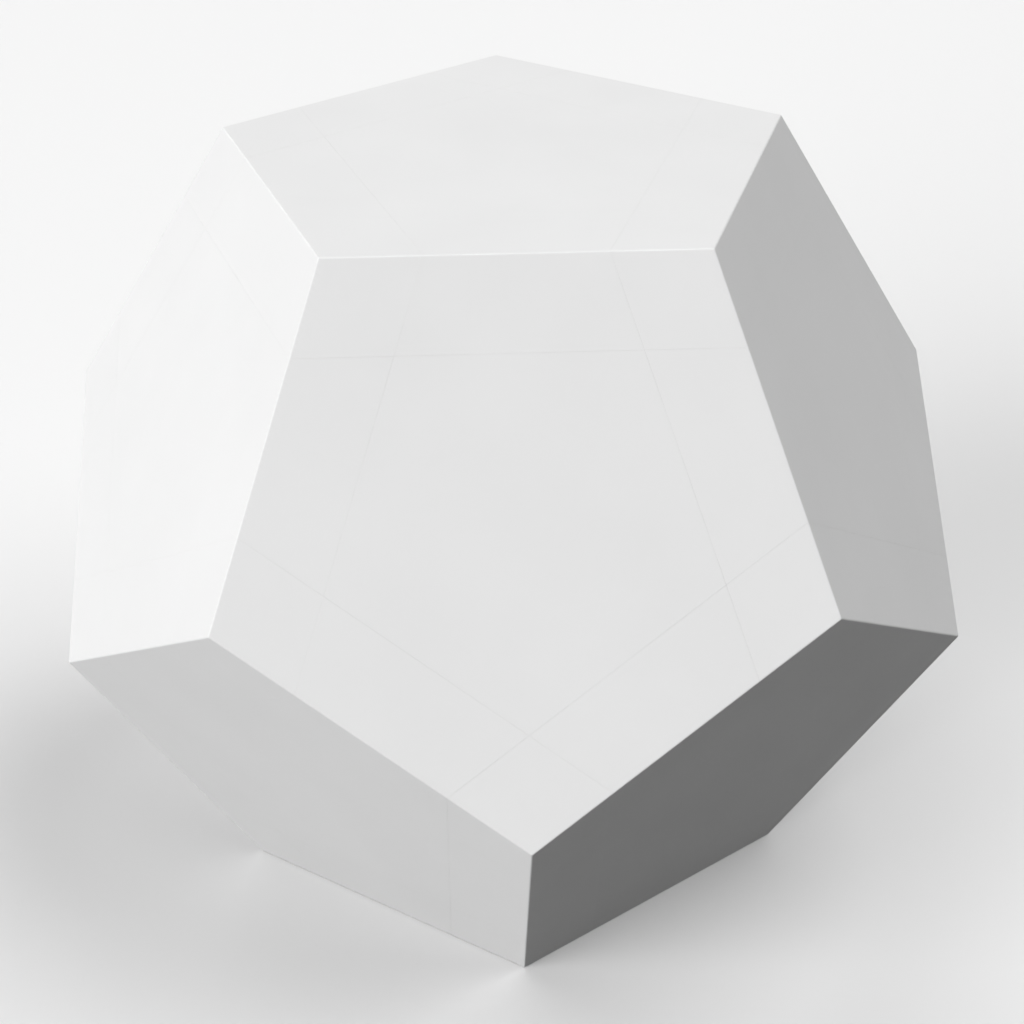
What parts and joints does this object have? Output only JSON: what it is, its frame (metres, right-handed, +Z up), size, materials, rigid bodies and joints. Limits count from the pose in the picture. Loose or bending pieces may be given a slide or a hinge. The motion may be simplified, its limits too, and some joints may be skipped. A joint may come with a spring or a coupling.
{
  "type": "dodecahedron twisty puzzle",
  "caption": "Plain pale regular dodecahedron, made as a face-turning puzzle: corner, edge and centre pieces locked round a cored, spring-loaded middle.",
  "frame": {"origin": "middle of the face it stands on", "axes": "+Z up, the short way through from face to opposite face; +Y across the widest way, away from the front face; +X to the right"},
  "size_m": [0.0838, 0.088, 0.0713],
  "materials": {
    "shell_plastic": "satin",
    "core_plastic": "satin",
    "fastener_steel": "satin"
  },
  "bodies": {
    "puzzle_body": {"core": "core_plastic", "screws": "fastener_steel", "washers": "fastener_steel", "springs": "fastener_steel", "fixed_edges": "shell_plastic", "fixed_caps": "shell_plastic", "top_hub": "shell_plastic", "upper_right_hub": "shell_plastic", "upper_rear_hub": "shell_plastic", "upper_left_hub": "shell_plastic", "lower_right_hub": "shell_plastic", "lower_right_rear_hub": "shell_plastic", "lower_rear_hub": "shell_plastic", "lower_left_rear_hub": "shell_plastic", "lower_left_hub": "shell_plastic", "fixed_corner_1": "shell_plastic", "fixed_corner_2": "shell_plastic", "fixed_corner_3": "shell_plastic", "fixed_corner_4": "shell_plastic", "fixed_corner_5": "shell_plastic"},
    "front_layer": {"front_hub": "shell_plastic", "front_cap": "shell_plastic", "front_corner_1": "shell_plastic", "front_corner_2": "shell_plastic", "front_corner_3": "shell_plastic", "front_corner_4": "shell_plastic", "front_corner_5": "shell_plastic", "front_edge_1": "shell_plastic", "front_edge_2": "shell_plastic", "front_edge_3": "shell_plastic", "front_edge_4": "shell_plastic", "front_edge_5": "shell_plastic"},
    "back_layer": {"back_hub": "shell_plastic", "back_cap": "shell_plastic", "back_corner_1": "shell_plastic", "back_corner_2": "shell_plastic", "back_corner_3": "shell_plastic", "back_corner_4": "shell_plastic", "back_corner_5": "shell_plastic", "back_edge_1": "shell_plastic", "back_edge_2": "shell_plastic", "back_edge_3": "shell_plastic", "back_edge_4": "shell_plastic", "back_edge_5": "shell_plastic"},
    "base_layer": {"base_hub": "shell_plastic", "base_cap": "shell_plastic", "base_corner_1": "shell_plastic", "base_corner_2": "shell_plastic", "base_corner_3": "shell_plastic", "base_corner_4": "shell_plastic", "base_corner_5": "shell_plastic", "base_edge_1": "shell_plastic", "base_edge_2": "shell_plastic", "base_edge_3": "shell_plastic", "base_edge_4": "shell_plastic", "base_edge_5": "shell_plastic"}
  },
  "joints": [
    {"name": "front_turn", "type": "hinge", "parent": "puzzle_body", "child": "front_layer", "pos_m": [0, 0, 0.03563], "axis": [0, -0.8944, 0.4472], "continuous": true},
    {"name": "back_turn", "type": "hinge", "parent": "puzzle_body", "child": "back_layer", "pos_m": [0, 0, 0.03563], "axis": [0.5257, 0.7236, 0.4472], "continuous": true},
    {"name": "base_turn", "type": "hinge", "parent": "puzzle_body", "child": "base_layer", "pos_m": [0, 0, 0.03563], "axis": [0, 0, -1], "continuous": true}
  ]
}
